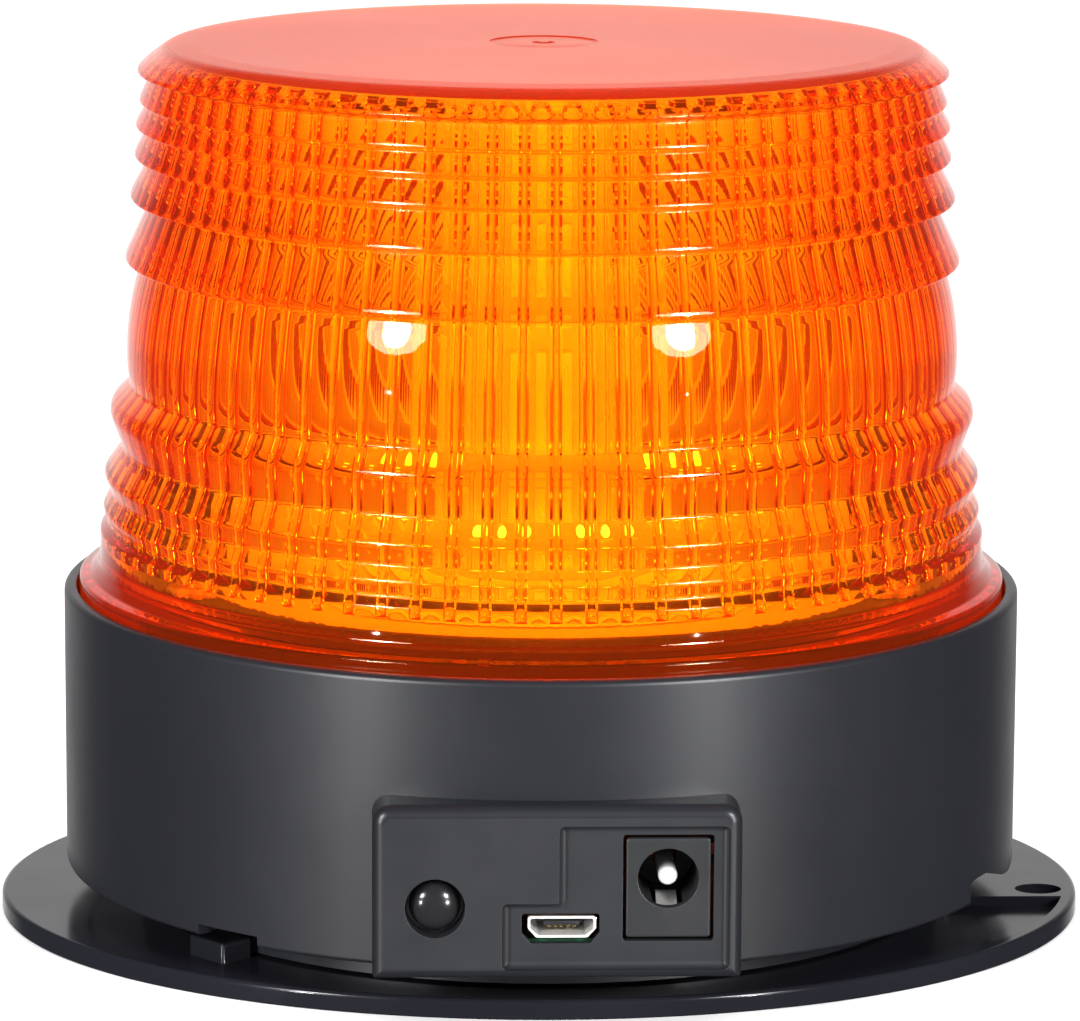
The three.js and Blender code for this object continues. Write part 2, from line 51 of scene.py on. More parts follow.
RECESS_FLOOR = -54.5
PANEL_BACK = -53.6
PANEL_SIZE = (19.1, 6.0, 24.4)
COVER_TOP = 8.0
POSTS = [(sx * 38.15, sy * 13.9) for sx, sy in ((1, 1), (-1, 1), (-1, -1), (1, -1))]
BUTTON = (-12.63, 13.58)
JACK = (11.5, 16.4)
JACK_FACE = -54.2
USB = (0.52, 10.1, 12.4)
EYELET = (55.8, -4.6)
FLUTES = 80
LENS_TOP = 97.0
LENS_CEILING = 94.7
LUG_AZIMUTHS = (30, 150, 270)


# ---------------------------------------------------------------- mesh helpers
def mesh_object(name, verts, faces, sharp=32):
    """A mesh from points in millimetres."""
    mesh = bpy.data.meshes.new(name)
    mesh.from_pydata([[c * MM for c in v] for v in verts], [], faces)
    mesh.validate()
    obj = bpy.data.objects.new(name, mesh)
    bpy.context.scene.collection.objects.link(obj)
    tidy_normals(obj, sharp)
    return obj


def tidy_normals(obj, sharp=32):
    bm = bmesh.new()
    bm.from_mesh(obj.data)
    bmesh.ops.recalc_face_normals(bm, faces=bm.faces)
    bm.to_mesh(obj.data)
    bm.free()
    obj.data.shade_smooth()
    obj.data.set_sharp_from_angle(angle=math.radians(sharp))


def fillet(points, steps=4):
    """A polyline of (x, y) or (x, y, radius) corners, each rounded by an arc of that radius."""
    out = []
    count = len(points)
    for i, corner in enumerate(points):
        radius = corner[2] if len(corner) > 2 else 0
        here = Vector(corner[:2])
        if radius <= 0 or i in (0, count - 1):
            out.append(tuple(here))
            continue
        before = Vector(points[i - 1][:2]) - here
        after = Vector(points[i + 1][:2]) - here
        half = before.angle(after) / 2
        reach = min(radius / math.tan(half), 0.49 * before.length, 0.49 * after.length)
        radius = reach * math.tan(half)
        start = here + before.normalized() * reach
        end = here + after.normalized() * reach
        centre = here + (before.normalized() + after.normalized()).normalized() * radius / math.sin(half)
        turn = (start - centre).angle_signed(end - centre)
        for step in range(steps + 1):
            spoke = (start - centre).copy()
            spoke.rotate(Matrix.Rotation(-turn * step / steps, 2))
            out.append(tuple(centre + spoke))
    return out


def closed_fillet(points, steps=4):
    """The same for a closed outline."""
    ring = [points[-1], *points, points[0]]
    rounded = fillet(ring, steps)
    return rounded[1:-1]


def revolve(name, profile, segments=192, sharp=32):
    """Turns a closed (radius, height) profile about Z."""
    verts = []
    rings = []
    for radius, height in profile:
        if radius < 1e-6:
            rings.append([len(verts)])
            verts.append((0, 0, height))
            continue
        rings.append(list(range(len(verts), len(verts) + segments)))
        for k in range(segments):
            angle = 2 * math.pi * k / segments
            verts.append((radius * math.cos(angle), radius * math.sin(angle), height))
    faces = []
    pairs = list(zip(rings, rings[1:]))
    if len(rings[0]) > 1 or len(rings[-1]) > 1:
        pairs.append((rings[-1], rings[0]))
    for low, high in pairs:
        for k in range(segments):
            after = (k + 1) % segments
            if len(low) == 1 and len(high) == 1:
                break
            if len(low) == 1:
                faces.append((low[0], high[after], high[k]))
            elif len(high) == 1:
                faces.append((low[k], low[after], high[0]))
            else:
                faces.append((low[k], low[after], high[after], high[k]))
    return mesh_object(name, verts, faces, sharp)


def loft(name, outlines, sharp=32):
    """Joins equal-length closed outlines of 3-D points, with both ends capped."""
    verts = [p for outline in outlines for p in outline]
    size = len(outlines[0])
    faces = []
    for layer in range(len(outlines) - 1):
        base = layer * size
        for k in range(size):
            after = (k + 1) % size
            faces.append((base + k, base + after, base + size + after, base + size + k))
    faces.append(tuple(range(size)))
    last = (len(outlines) - 1) * size
    faces.append(tuple(range(last, last + size)))
    return mesh_object(name, verts, faces, sharp)


def rounded_rectangle(x0, x1, z0, z1, radius, steps=5):
    corners = [(x0, z0, radius), (x1, z0, radius), (x1, z1, radius), (x0, z1, radius)]
    return closed_fillet(corners, steps)


def inset_outline(outline, distance):
    """A convex outline moved inwards."""
    out = []
    count = len(outline)
    centre = sum((Vector(p) for p in outline), Vector((0, 0))) / count
    for k in range(count):
        along = Vector(outline[(k + 1) % count]) - Vector(outline[k - 1])
        normal = Vector((-along.y, along.x)).normalized()
        if normal.dot(centre - Vector(outline[k])) < 0:
            normal = -normal
        out.append(tuple(Vector(outline[k]) + normal * distance))
    return out


def pillow(name, outline, low, high, round_low=0.0, round_high=0.0, steps=5, axis="z", sharp=32):
    """An outline made solid between two heights, with its end edges rounded.

    outline is a list of points of a convex shape, or a function giving the points for an inset.
    """
    shape = outline if callable(outline) else lambda inset: inset_outline(outline, inset)
    layers = []
    for k in range(steps + 1):
        if round_low <= 0 and k:
            break
        a = math.pi / 2 * k / steps
        layers.append((round_low * (1 - math.sin(a)), low + round_low * (1 - math.cos(a))))
    for k in range(steps + 1):
        if round_high <= 0 and k:
            break
        a = math.pi / 2 * (1 - k / steps)
        layers.append((round_high * (1 - math.sin(a)), high - round_high * (1 - math.cos(a))))
    place = {"z": lambda p, h: (p[0], p[1], h), "y": lambda p, h: (p[0], h, p[1]),
             "x": lambda p, h: (h, p[0], p[1])}[axis]
    return loft(name, [[place(p, h) for p in shape(inset)] for inset, h in layers], sharp)


def prism(name, outline, low, high, axis="z"):
    place = {"z": lambda p, h: (p[0], p[1], h), "y": lambda p, h: (p[0], h, p[1]),
             "x": lambda p, h: (h, p[0], p[1])}[axis]
    return loft(name, [[place(p, low) for p in outline], [place(p, high) for p in outline]])


def circle(x, y, radius, count=48):
    steps = [2 * math.pi * k / count for k in range(count)]
    return [(x + radius * math.cos(a), y + radius * math.sin(a)) for a in steps]


def ellipse(half_x, half_y, count=240):
    steps = [2 * math.pi * k / count for k in range(count)]
    return [(half_x * math.cos(a), half_y * math.sin(a)) for a in steps]


def box(name, x0, x1, y0, y1, z0, z1):
    return prism(name, [(x0, y0), (x1, y0), (x1, y1), (x0, y1)], z0, z1)


def settle(obj):
    """Applies the modifiers to the mesh."""
    bpy.context.view_layer.update()
    graph = bpy.context.evaluated_depsgraph_get()
    mesh = bpy.data.meshes.new_from_object(obj.evaluated_get(graph))
    old = obj.data
    obj.modifiers.clear()
    obj.data = mesh
    bpy.data.meshes.remove(old)
    return obj


def carve(obj, *tools, operation="DIFFERENCE"):
    for tool in tools:
        mod = obj.modifiers.new("cut", "BOOLEAN")
        mod.operation = operation
        mod.solver = "EXACT"
        mod.object = tool
        settle(obj)
        bpy.data.objects.remove(tool)
    return obj


def soften(obj, width, segments=2, angle=40, sharp=32):
    """Rounds the sharp edges."""
    mod = obj.modifiers.new("edges", "BEVEL")
    mod.width = width * MM
    mod.segments = segments
    mod.limit_method = "ANGLE"
    mod.angle_limit = math.radians(angle)
    mod.use_clamp_overlap = True
    settle(obj)
    obj.data.shade_smooth()
    obj.data.set_sharp_from_angle(angle=math.radians(sharp))
    return obj


def merge(name, *objects):
    """Several meshes as one object."""
    bm = bmesh.new()
    for obj in objects:
        obj.data.transform(obj.matrix_basis)
        bm.from_mesh(obj.data)
        bpy.data.objects.remove(obj)
    mesh = bpy.data.meshes.new(name)
    bm.to_mesh(mesh)
    bm.free()
    merged = bpy.data.objects.new(name, mesh)
    bpy.context.scene.collection.objects.link(merged)
    mesh.shade_smooth()
    mesh.set_sharp_from_angle(angle=math.radians(32))
    return merged


def moved(obj, x=0.0, y=0.0, z=0.0, turn=0.0):
    """Turned about Z in degrees, then moved, in millimetres."""
    spin = Matrix.Rotation(math.radians(turn), 4, "Z")
    obj.data.transform(Matrix.Translation((x * MM, y * MM, z * MM)) @ spin)
    return obj


def along_y(obj, x, y, z):
    """A piece turned about Z now points its height along +Y, with its foot at (x, y, z)."""
    obj.data.transform(Matrix.Translation((x * MM, y * MM, z * MM)) @ Matrix.Rotation(-math.pi / 2, 4, "X"))
    return obj


def even_shading(obj):
    """Large faces keep their own direction; only the small rounded ones between them bend."""
    mod = obj.modifiers.new("normals", "WEIGHTED_NORMAL")
    mod.mode = "FACE_AREA"
    mod.weight = 60
    mod.keep_sharp = True
    return settle(obj)


def place(obj, material, body, replaced=(), slot=None):
    even_shading(obj)
    obj.data.materials.clear()
    obj.data.materials.append(material)
    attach(obj, body)
    if replaced:
        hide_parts(*replaced)
    return obj


# ---------------------------------------------------------------- materials
class Nodes:
    """Short names for building a node tree."""

    def __init__(self, name):
        self.material = bpy.data.materials.new(name)
        self.material.use_nodes = True
        self.tree = self.material.node_tree
        self.tree.nodes.clear()
        self.output = self.tree.nodes.new("ShaderNodeOutputMaterial")
        self.shader = self.tree.nodes.new("ShaderNodeBsdfPrincipled")
        self.link(self.shader, "BSDF", self.output, "Surface")
        self.coords = self.tree.nodes.new("ShaderNodeTexCoord")

    def link(self, source, out, target, into):
        self.tree.links.new(source.outputs[out], target.inputs[into])

    def noise(self, scale, detail=4.0, roughness=0.55, stretch=(1, 1, 1)):
        mapping = self.tree.nodes.new("ShaderNodeMapping")
        mapping.inputs["Scale"].default_value = stretch
        texture = self.tree.nodes.new("ShaderNodeTexNoise")
        texture.inputs["Scale"].default_value = scale
        texture.inputs["Detail"].default_value = detail
        texture.inputs["Roughness"].default_value = roughness
        self.link(self.coords, "Object", mapping, "Vector")
        self.link(mapping, "Vector", texture, "Vector")
        return texture

    def ramp(self, source, out, stops):
        ramp = self.tree.nodes.new("ShaderNodeValToRGB")
        elements = ramp.color_ramp.elements
        while len(elements) < len(stops):
            elements.new(0.5)
        for element, (position, color) in zip(elements, stops):
            element.position = position
            element.color = (*color, 1) if len(color) == 3 else color
        self.link(source, out, ramp, "Fac")
        return ramp

    def vary_color(self, texture, low, high, window=(0.3, 0.7)):
        ramp = self.ramp(texture, "Fac", [(window[0], low), (window[1], high)])
        self.link(ramp, "Color", self.shader, "Base Color")

    def spread(self, source, out, window, onto):
        spread = self.tree.nodes.new("ShaderNodeMapRange")
        spread.inputs["From Min"].default_value = window[0]
        spread.inputs["From Max"].default_value = window[1]
        spread.inputs["To Min"].default_value = onto[0]
        spread.inputs["To Max"].default_value = onto[1]
        self.link(source, out, spread, "Value")
        return spread

    def vary_roughness(self, texture, low, high, window=(0.3, 0.7)):
        self.link(self.spread(texture, "Fac", window, (low, high)), "Result", self.shader, "Roughness")

    def bump(self, texture, out, strength, distance):
        bump = self.tree.nodes.new("ShaderNodeBump")
        bump.inputs["Strength"].default_value = strength
        bump.inputs["Distance"].default_value = distance * MM
        self.link(texture, out, bump, "Height")
        self.link(bump, "Normal", self.shader, "Normal")


def moulded_black(name, color, roughness, grain, grain_depth, specular=0.5):
    """Injection-moulded black plastic with a fine spark-eroded grain and faint flow marks."""
    m = Nodes(name)
    flow = m.noise(38, 3, 0.5, (1, 1, 0.35))
    m.vary_color(flow, tuple(c * 0.88 for c in color), tuple(c * 1.14 for c in color))
    m.vary_roughness(m.noise(160, 5, 0.6), *roughness)
    m.bump(m.noise(grain, 3, 0.6), "Fac", 0.35, grain_depth)
    m.shader.inputs["Specular IOR Level"].default_value = specular
    return m.material


def metal(name, color, roughness, stretch=(1, 1, 1), metallic=1.0):
    """Plated or drawn metal with fine streaks."""
    m = Nodes(name)
    streaks = m.noise(420, 4, 0.6, stretch)
    m.vary_color(streaks, tuple(c * 0.9 for c in color), color)
    m.vary_roughness(streaks, *roughness)
    m.bump(streaks, "Fac", 0.12, 0.01)
    m.shader.inputs["Metallic"].default_value = metallic
    return m.material


def painted(name, low, high, roughness, scale=90, bump_depth=0.02):
    """Solder mask, wrap or insulation: a soft mottled coat."""
    m = Nodes(name)
    mottle = m.noise(scale, 5, 0.6)
    m.vary_color(mottle, low, high)
    m.vary_roughness(m.noise(scale * 3, 3, 0.5), *roughness)
    m.bump(m.noise(scale * 8, 2, 0.5), "Fac", 0.2, bump_depth)
    return m.material


def amber_clear():
    """Clear amber polycarbonate: coloured by its depth, with a faint painted glow, open to lamps, matt on
    top.
    """
    m = Nodes("amber_polycarbonate")
    m.shader.inputs["Base Color"].default_value = (1.0, 0.8, 0.4, 1)
    m.shader.inputs["Specular Tint"].default_value = (1.0, 0.62, 0.4, 1)
    m.shader.inputs["IOR"].default_value = 1.56
    m.shader.inputs["Transmission Weight"].default_value = 1.0
    # Painted glow: the lens is no lamp; this faint orange emission only brightens its colour.
    m.shader.inputs["Emission Color"].default_value = (1.0, 0.17, 0.012, 1)
    m.shader.inputs["Emission Strength"].default_value = 0.065
    m.material.cycles.emission_sampling = "NONE"
    split = m.tree.nodes.new("ShaderNodeSeparateXYZ")
    m.link(m.coords, "Object", split, "Vector")
    haze = m.noise(70, 4, 0.6)
    walls = m.spread(haze, "Fac", (0.3, 0.7), (0.006, 0.03))
    top = m.spread(split, "Z", (0.0955, 0.0969), (0.0, 0.3))
    roughness = m.tree.nodes.new("ShaderNodeMath")
    roughness.operation = "ADD"
    m.link(walls, "Result", roughness, 0)
    m.tree.links.new(top.outputs["Result"], roughness.inputs[1])
    m.link(roughness, 0, m.shader, "Roughness")
    m.bump(m.noise(26, 2, 0.5), "Fac", 0.05, 0.25)
    clear = m.tree.nodes.new("ShaderNodeBsdfTransparent")
    clear.inputs["Color"].default_value = (1.0, 0.55, 0.14, 1)
    path = m.tree.nodes.new("ShaderNodeLightPath")
    mix = m.tree.nodes.new("ShaderNodeMixShader")
    m.link(path, "Is Shadow Ray", mix, "Fac")
    m.tree.links.new(m.shader.outputs["BSDF"], mix.inputs[1])
    m.tree.links.new(clear.outputs["BSDF"], mix.inputs[2])
    m.link(mix, "Shader", m.output, "Surface")
    depth = m.tree.nodes.new("ShaderNodeVolumeAbsorption")
    depth.inputs["Color"].default_value = (0.998, 0.8, 0.02, 1)
    depth.inputs["Density"].default_value = 1100
    m.link(depth, "Volume", m.output, "Volume")
    return m.material


def glow_painted_phosphor(strength):
    """Phosphor with a painted soft yellow glow that brightens the lower lens, uneven over its face."""
    m = Nodes("glow_painted_phosphor")
    mottle = m.noise(900, 3, 0.6)
    m.vary_color(mottle, (0.8, 0.66, 0.2), (0.9, 0.78, 0.3))
    m.vary_roughness(m.noise(1200, 2, 0.5), 0.25, 0.4)
    # Painted glow: this emission stands in for light, brightening the lower lens.
    m.shader.inputs["Emission Color"].default_value = (1.0, 0.8, 0.25, 1)
    glow = m.spread(mottle, "Fac", (0.3, 0.7), (strength * 0.8, strength))
    m.link(glow, "Result", m.shader, "Emission Strength")
    return m.material


def printed_deck(reach):
    """Black moulding whose top is printed white out to a radius in millimetres."""
    m = Nodes("printed_deck")
    split = m.tree.nodes.new("ShaderNodeSeparateXYZ")
    flat = m.tree.nodes.new("ShaderNodeCombineXYZ")
    size = m.tree.nodes.new("ShaderNodeVectorMath")
    size.operation = "LENGTH"
    m.link(m.coords, "Object", split, "Vector")
    m.link(split, "X", flat, "X")
    m.link(split, "Y", flat, "Y")
    m.link(flat, "Vector", size, 0)
    edge = m.spread(size, "Value", (reach * MM, (reach + 0.3) * MM), (0.0, 1.0))
    ramp = m.ramp(edge, "Result", [(0.0, (0.82, 0.81, 0.77)), (1.0, (0.012, 0.0125, 0.015))])
    m.link(ramp, "Color", m.shader, "Base Color")
    m.vary_roughness(m.noise(1400, 3, 0.6), 0.35, 0.5)
    m.bump(m.noise(2400, 2, 0.5), "Fac", 0.1, 0.006)
    return m.material


def board(name, mask, trace):
    """Solder mask over copper traces, whose edges stand slightly proud."""
    m = Nodes(name)
    texture = m.tree.nodes.new("ShaderNodeTexBrick")
    texture.offset = 0.37
    texture.squash = 1.6
    texture.squash_frequency = 3
    texture.inputs["Scale"].default_value = 130
    texture.inputs["Mortar Size"].default_value = 0.05
    texture.inputs["Mortar Smooth"].default_value = 0.2
    texture.inputs["Color1"].default_value = (*mask, 1)
    texture.inputs["Color2"].default_value = (*[c * 0.93 for c in mask], 1)
    texture.inputs["Mortar"].default_value = (*trace, 1)
    m.link(m.coords, "Object", texture, "Vector")
    m.link(texture, "Color", m.shader, "Base Color")
    m.vary_roughness(m.noise(300, 3, 0.5), 0.28, 0.42)
    m.bump(texture, "Fac", 0.3, 0.03)
    return m.material


SATIN = moulded_black(
    "satin_black_plastic", (0.0095, 0.01, 0.0132), (0.34, 0.38), 2600, 0.006, 0.45)
PANEL_BLACK = moulded_black(
    "textured_black_plastic", (0.0135, 0.0142, 0.0172), (0.4, 0.5), 2200, 0.012, 0.4)
GLOSS = moulded_black(
    "gloss_black_plastic", (0.009, 0.0093, 0.0125), (0.12, 0.2), 900, 0.004, 0.2)
SOCKET_BLACK = moulded_black("socket_black_plastic", (0.016, 0.0165, 0.018), (0.32, 0.45), 1800, 0.01)
CAP_BLACK = moulded_black("button_black_plastic", (0.012, 0.012, 0.0135), (0.12, 0.2), 1800, 0.006)
RUBBER = moulded_black("matt_rubber", (0.018, 0.018, 0.019), (0.6, 0.8), 1500, 0.04, 0.3)
NICKEL = metal("bright_nickel", (0.9, 0.89, 0.87), (0.16, 0.28), (1, 0.12, 1), 0.5)
SCREW_STEEL = metal("plated_screw_steel", (0.62, 0.63, 0.65), (0.22, 0.36), (1, 1, 0.2))
ZINC = metal("zinc_plate", (0.6, 0.62, 0.64), (0.3, 0.45))
GOLD = metal("gold_contact", (0.9, 0.66, 0.28), (0.18, 0.28), (1, 0.1, 1))
FERRITE = painted("sintered_ferrite", (0.03, 0.03, 0.032), (0.06, 0.06, 0.064), (0.5, 0.7), 300, 0.04)
BOARD_WHITE = board("white_solder_mask", (0.86, 0.85, 0.8), (0.78, 0.77, 0.71))
# Painted shade: a darker copy of the white solder mask, dimming the column boards seen through the lens.
SHADED_STRIP_MASK = board("shaded_white_solder_mask", (0.66, 0.63, 0.56), (0.58, 0.55, 0.48))
BOARD_GREEN = board("green_solder_mask", (0.004, 0.035, 0.014), (0.008, 0.06, 0.022))
WHITE_PLASTIC = painted("white_moulding", (0.72, 0.71, 0.67), (0.82, 0.81, 0.78), (0.35, 0.5))
CELL_WRAP = painted("blue_cell_wrap", (0.02, 0.1, 0.32), (0.03, 0.14, 0.4), (0.25, 0.38))
WIRE_RED = painted("red_insulation", (0.5, 0.015, 0.012), (0.62, 0.025, 0.02), (0.35, 0.5))
WIRE_BLACK = painted("black_insulation", (0.012, 0.012, 0.012), (0.02, 0.02, 0.02), (0.35, 0.5))
AMBER = amber_clear()
GLOW_PAINTED_PHOSPHOR = glow_painted_phosphor(5.0)
PHOSPHOR = painted("led_phosphor", (0.85, 0.72, 0.22), (0.9, 0.78, 0.3), (0.25, 0.4), 400, 0.01)


# ---------------------------------------------------------------- lens
# Upper rings from the barrel up: radius and height of the root, then of the lip, and the lip's bend.
UPPER_RINGS = [
    (44.25, 72.95, 46.0, 73.2, 0.75),
    (43.15, 79.75, 45.4, 80.1, 0.6),
    (43.32, 84.35, 44.88, 84.65, 0.5),
    (43.5, 87.65, 44.72, 87.95, 0.45),
    (43.45, 90.4, 44.3, 90.7, 0.4),
    (43.08, 93.6, 44.5, 93.9, 0.4),
]


def lens_outer():
    """From the skirt's foot up the outside to the middle of the top."""
    flange = [(47.2, 26.5), (47.2, 35.3, 0.3), (51.3, 35.3, 0.3), (51.3, 38.2, 0.45), (50.1, 38.55, 0.8),
              (49.2, 39.5, 1.3)]
    lower = [
        (48.93, 41.5), (48.98, 43.4, 0.7), (48.0, 44.3, 0.6), (48.66, 45.8, 0.8), (47.66, 47.6, 0.7),
        (48.53, 49.7, 0.9), (46.4, 52.6, 0.8), (48.1, 57.15, 2.1),
    ]
    barrel = [(45.5, 59.5, 0.6)]
    bulge_heights = (61.0, 62.3, 63.6, 64.9, 66.2, 67.5, 68.8, 70.1, 71.3, 72.3)
    barrel += [(45.86 - (z - 63) ** 2 / 60, z) for z in bulge_heights]
    upper = []
    for root, root_height, lip, lip_height, bend in UPPER_RINGS:
        # Each lip stands nearly upright for a moment before its cone begins.
        upper += [
            (root, root_height, 0.3), (lip, lip_height, 0.35), (lip - 0.22 * bend, lip_height + bend, 3.0),
        ]
    crown = [(43.1, 95.5, 1.6), (41.2, 96.75, 2.2), (38.6, LENS_TOP, 3), (6.0, LENS_TOP)]
    gate = [
        (5.9, 96.88), (5.5, 96.82), (5.2, 96.9), (1.3, 96.9), (1.1, 96.75), (0.7, 96.75), (0.55, 96.97),
        (0, LENS_TOP),
    ]
    return fillet(flange + lower + barrel + upper + crown, 6) + gate


def lens_inner():
    """From the middle of the top down the inside to the skirt's foot."""
    corners = [
        (0, LENS_CEILING), (41.35, LENS_CEILING, 0.35), (41.6, 78, 8), (42.4, 71, 8), (43.3, 60, 8),
        (44.0, 56, 4), (45.3, 50, 6), (46.3, 44, 4), (46.4, 40.1, 1), (45.4, 38.1, 1), (45.4, 26.5),
    ]
    rounded = fillet(corners, 3)
    # Extra rings where the ribs end and where the flutes between them run out in arches.
    extra = [RIB_FOOT + 0.9 * step for step in (0.0, 0.08, 0.3, 0.6, 1.0)]
    extra += [ARCH_TOP - ARCH_DROP - 0.1 + 0.15 * step for step in range(12)]
    out = [rounded[0]]
    for a, b in zip(rounded, rounded[1:]):
        inside = [z for z in extra if min(a[1], b[1]) + 0.02 < z < max(a[1], b[1]) - 0.02]
        for z in sorted(inside, reverse=a[1] > b[1]):
            out.append((a[0] + (b[0] - a[0]) * (z - a[1]) / (b[1] - a[1]), z))
        out.append(b)
    return out


RIB_HEIGHT = 0.6
RIB_SHARE = 0.36
RIB_FOOT = 41.8
FLUTE_HOLLOW = 0.12
ARCH_TOP = 94.15
ARCH_DROP = 1.2


def rib_stations():
    """Angles round the inner wall: (angle, share of the rib's height, place across the flute or None)."""
    across = [-1, -0.86, -0.5, 0, 0.5, 0.86, 1]
    between = [-0.9, -0.6, -0.3, 0, 0.3, 0.6, 0.9]
    pitch = 2 * math.pi / FLUTES
    out = []
    for rib in range(FLUTES):
        for t in across:
            out.append(((rib + t * RIB_SHARE / 2) * pitch, math.sqrt(max(0.0, 1 - t * t)), None))
        for t in between:
            out.append(((rib + 0.5 + t * (1 - RIB_SHARE) / 2) * pitch, 0.0, t))
    return out


def rib_rise(height, share, across):
    """How far the wall stands in: ribs end round at the foot, flutes run out in arches at the head."""
    foot = min(1.0, max(0.0, (height - RIB_FOOT) / 0.9))
    rib = share * math.sqrt(1 - (1 - foot) ** 2)
    t = 1.0 if across is None else abs(across)
    arch = ARCH_TOP - ARCH_DROP * (1 - math.sqrt(1 - t * t))
    over = min(1.0, max(0.0, (height - arch) / 0.55))
    over = over * over * (3 - 2 * over)
    return RIB_HEIGHT * max(rib, over) - FLUTE_HOLLOW * (1 - t * t) * foot * (1 - over)


def build_lens():
    """Outside rings turned about Z, inside wall with its ribs, sewn together at the skirt's foot."""
    stations = rib_stations()
    inner_count = len(stations)
    outer_count = inner_count // 2
    outer = [(r, z) for r, z in lens_outer() if r > 1e-6]
    inner = [(r, z) for r, z in lens_inner() if r > 1e-6]
    verts = [(0, 0, LENS_TOP), (0, 0, LENS_CEILING)]
    rings = []
    for radius, height in outer:
        rings.append(list(range(len(verts), len(verts) + outer_count)))
        for k in range(outer_count):
            angle = stations[2 * k][0]
            verts.append((radius * math.cos(angle), radius * math.sin(angle), height))
    walls = []
    for radius, height in inner:
        walls.append(list(range(len(verts), len(verts) + inner_count)))
        for angle, share, across in stations:
            reach = radius - rib_rise(height, share, across)
            verts.append((reach * math.cos(angle), reach * math.sin(angle), height))
    faces = []
    for group, count in ((rings, outer_count), (walls, inner_count)):
        for low, high in zip(group, group[1:]):
            for k in range(count):
                after = (k + 1) % count
                faces.append((low[k], low[after], high[after], high[k]))
    for k in range(outer_count):
        faces.append((rings[-1][k], rings[-1][(k + 1) % outer_count], 0))
        middle, far = 2 * k + 1, (2 * k + 2) % inner_count
        foot = (walls[-1][far], walls[-1][middle], walls[-1][2 * k])
        faces.append((rings[0][k], rings[0][(k + 1) % outer_count], *foot))
    for k in range(inner_count):
        faces.append((walls[0][(k + 1) % inner_count], walls[0][k], 1))
    shell = mesh_object("lens_shell", verts, faces, 38)
    lugs = []
    for azimuth in LUG_AZIMUTHS:
        arc = [math.radians(azimuth - 8 + 16 * k / 8) for k in range(9)]
        outline = [(49.1 * math.cos(a), 49.1 * math.sin(a)) for a in arc]
        outline += [(47.15 * math.cos(a), 47.15 * math.sin(a)) for a in reversed(arc)]
        lugs.append(prism("lug", outline, 28.0, 30.7))
    return merge("lens_shell", shell, *lugs)


place(build_lens(), AMBER, "lens_cover", ["lens"], "lens")


# ---------------------------------------------------------------- housing
def panel_outline(inset):
    half, bottom, top = PANEL_SIZE
    foot, head = max(0.05, 0.4 - inset), max(0.05, 1.9 - inset)
    return closed_fillet([
        (-half + inset, bottom + inset, foot), (half - inset, bottom + inset, foot),
        (half - inset, top - inset, head), (-half + inset, top - inset, head),
    ], 6)


def recess_outline(inset):
    """The L-shaped recess; its one inward corner grows as the others shrink."""
    corner, elbow = max(0.05, 0.6 - inset), 0.3 + inset
    return closed_fillet([
        (-5.7 + inset, 7.0 + inset, corner), (17.8 - inset, 7.0 + inset, corner),
        (17.8 - inset, 22.2 - inset, corner), (0.2 + inset, 22.2 - inset, corner),
        (0.2 + inset, 14.0 - inset, elbow), (-5.7 + inset, 14.0 - inset, corner),
    ], 5)


def panel_block():
    """The port panel: rounded block with the socket recess and the openings."""
    block = pillow("panel", panel_outline, PANEL_FACE, -48.4, round_low=1.25, steps=7, axis="y")
    usb_hole = closed_fillet([
        (-3.66, 10.7, 0.2), (-2.7, 9.6, 0.3), (3.5, 9.6, 0.3),
        (4.4, 10.7, 0.2), (4.4, 12.75, 0.35), (-3.66, 12.75, 0.35),
    ], 4)
    tools = [
        pillow("recess", recess_outline, PANEL_FACE - 1, RECESS_FLOOR, round_high=0.75, steps=6, axis="y"),
        prism("jack", rounded_rectangle(6.8, 16.2, 9.85, 21.1, 0.3, 3), -57, -52, "y"),
        prism("usb", usb_hole, -57, -52, "y"),
        prism("button", circle(*BUTTON, 3.1, 64), -57, -52, "y"),
    ]
    carve(block, *tools)
    return soften(block, 0.14, 2, 55)


def sector_cutter(inner, outer, low, high, start, end):
    arc = [math.radians(start + (end - start) * k / 8) for k in range(9)]
    outline = [(outer * math.cos(a), outer * math.sin(a)) for a in arc]
    outline += [(inner * math.cos(a), inner * math.sin(a)) for a in reversed(arc)]
    return prism("sector", outline, low, high)


def notch_cutter():
    """Steep at its front edge, sloping away beside the eyelet."""
    side = closed_fillet([
        (-8.3, 5), (8.3, 5), (8.3, 6.1), (2.8, 6.9, 2), (-4, 8.7, 2), (-8.3, 8.8, 0.6)], 4)
    cutter = prism("notch", side, -54, -49, "y")
    return moved(cutter, turn=69)


